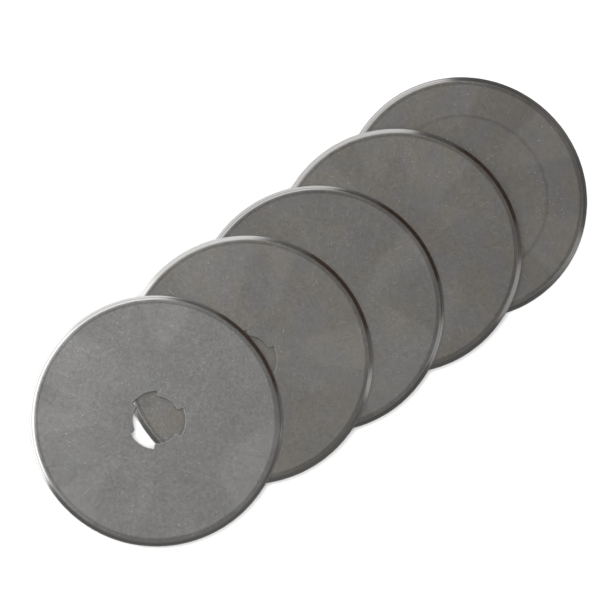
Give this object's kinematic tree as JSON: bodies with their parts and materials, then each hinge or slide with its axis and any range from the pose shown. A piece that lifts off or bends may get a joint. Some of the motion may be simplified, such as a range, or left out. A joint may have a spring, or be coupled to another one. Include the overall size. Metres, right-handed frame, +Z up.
{
  "type": "rotary cutter blade set",
  "caption": "Thin round steel rotary cutter blades with ground double-bevel edges and three-lobed hub holes, fanned out in an overlapping row on a flat surface.",
  "frame": {"origin": "under the middle of the row's outline, on the surface that the blades lie on", "axes": "+X along the row from the topmost blade to the lowest, +Z up, +Y to the left of +X"},
  "size_m": [0.1149, 0.0458, 0.0012],
  "materials": {
    "blade_steel": "satin ground sheet steel with a brighter ground bevel at the rim"
  },
  "bodies": {
    "blade_1": {"blade_1": "blade_steel"},
    "blade_2": {"blade_2": "blade_steel"},
    "blade_3": {"blade_3": "blade_steel"},
    "blade_4": {"blade_4": "blade_steel"},
    "blade_5": {"blade_5": "blade_steel"}
  },
  "joints": [
    {"name": "blade_4_lift", "type": "slide", "parent": "blade_5", "child": "blade_4", "axis": [0, 0, 1], "range_m": [0, 0.03]},
    {"name": "blade_3_lift", "type": "slide", "parent": "blade_4", "child": "blade_3", "axis": [0, 0, 1], "range_m": [0, 0.03]},
    {"name": "blade_2_lift", "type": "slide", "parent": "blade_3", "child": "blade_2", "axis": [0, 0, 1], "range_m": [0, 0.03]},
    {"name": "blade_1_lift", "type": "slide", "parent": "blade_2", "child": "blade_1", "axis": [0, 0, 1], "range_m": [0, 0.03]}
  ]
}
